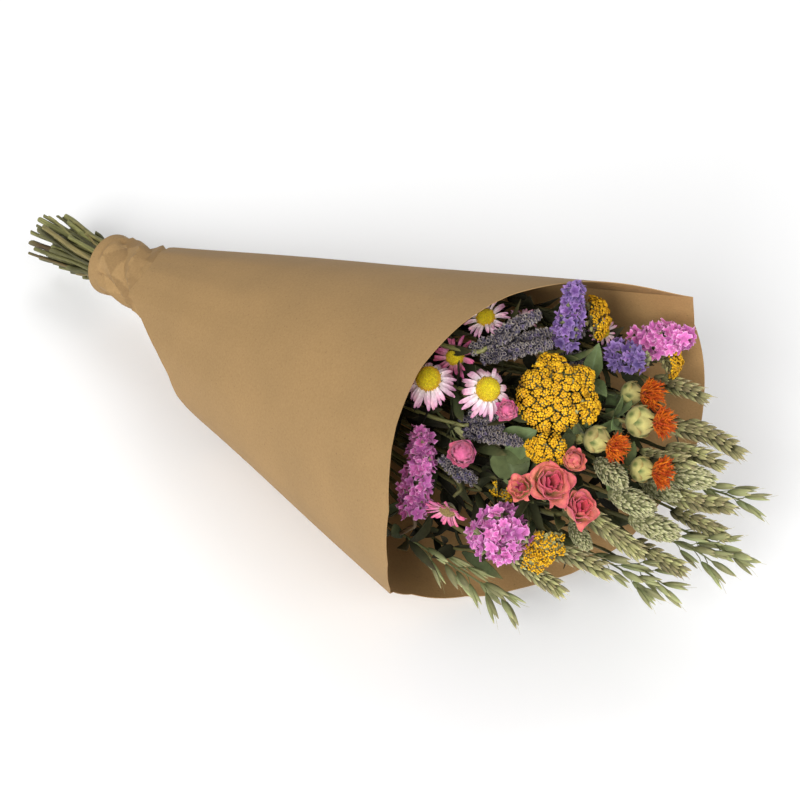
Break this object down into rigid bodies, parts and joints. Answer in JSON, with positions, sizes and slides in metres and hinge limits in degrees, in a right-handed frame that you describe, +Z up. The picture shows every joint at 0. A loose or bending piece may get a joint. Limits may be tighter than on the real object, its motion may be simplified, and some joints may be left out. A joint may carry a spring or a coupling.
{
  "type": "flower bouquet",
  "caption": "Mixed bouquet of dried field flowers and grasses, tied and rolled in a cone of kraft paper, lying on its side.",
  "frame": {"origin": "on the surface that the bouquet lies on, under the middle of the whole bouquet", "axes": "+X along the bouquet from the cut stems to the flowers, +Z up from the surface that it lies on"},
  "size_m": [0.5334, 0.2158, 0.2076],
  "materials": {
    "paper": "matte",
    "stem": "matte",
    "tie": "matte",
    "yarrow": "matte",
    "petal_pale": "satin",
    "petal_hot": "satin",
    "disc": "matte",
    "statice_pink": "matte",
    "statice_purple": "matte",
    "lavender": "matte",
    "rose": "matte",
    "thistle_green": "matte",
    "thistle_orange": "matte",
    "grass": "matte",
    "wheat": "matte",
    "oat": "matte",
    "leaf": "matte"
  },
  "bodies": {
    "root": {"paper_wrap": "paper", "stems": "stem", "stem_tie": "tie", "yarrow_main": "yarrow", "yarrow_lower": "yarrow", "yarrow_top": "yarrow", "yarrow_side": "yarrow", "yarrow_front": "yarrow", "yarrow_low": "yarrow", "rose_large": "rose", "rose_right": "rose", "rose_left": "rose", "rose_bud": "rose", "daisy_a_petals": "petal_pale", "daisy_a_disc": "disc", "daisy_b_petals": "petal_pale", "daisy_b_disc": "disc", "daisy_c": "petal_pale", "daisy_turned": "petal_pale", "daisy_behind": "petal_hot", "daisy_top": "petal_pale", "daisy_far": "petal_pale", "daisy_bud_hot": "petal_hot", "daisy_bud_pink": "petal_hot", "statice_pink_left": "statice_pink", "statice_pink_front": "statice_pink", "statice_pink_far": "statice_pink", "statice_pink_low": "statice_pink", "statice_purple_top": "statice_purple", "statice_purple_mid": "statice_purple", "lavender_top": "lavender", "lavender_mid": "lavender", "lavender_low": "lavender", "lavender_left": "lavender", "leaf_heart": "leaf", "leaf_right": "leaf", "thistle_front_globe": "thistle_green", "thistle_front_tuft": "thistle_orange", "thistle_low_globe": "thistle_green", "thistle_low_tuft": "thistle_orange", "thistle_side_globe": "thistle_green", "thistle_side_tuft": "thistle_orange", "thistle_back_globe": "thistle_green", "thistle_back_tuft": "thistle_orange", "thistle_closed": "thistle_green", "canary_a": "grass", "canary_b": "grass", "canary_c": "grass", "canary_d": "grass", "wheat_a": "wheat", "wheat_b": "wheat", "wheat_c": "wheat", "wheat_d": "wheat", "wheat_e": "wheat", "wheat_f": "wheat", "wheat_g": "wheat", "wheat_h": "wheat", "oats_left": "oat", "oats_right": "oat", "oats_low": "oat"}
  },
  "joints": []
}
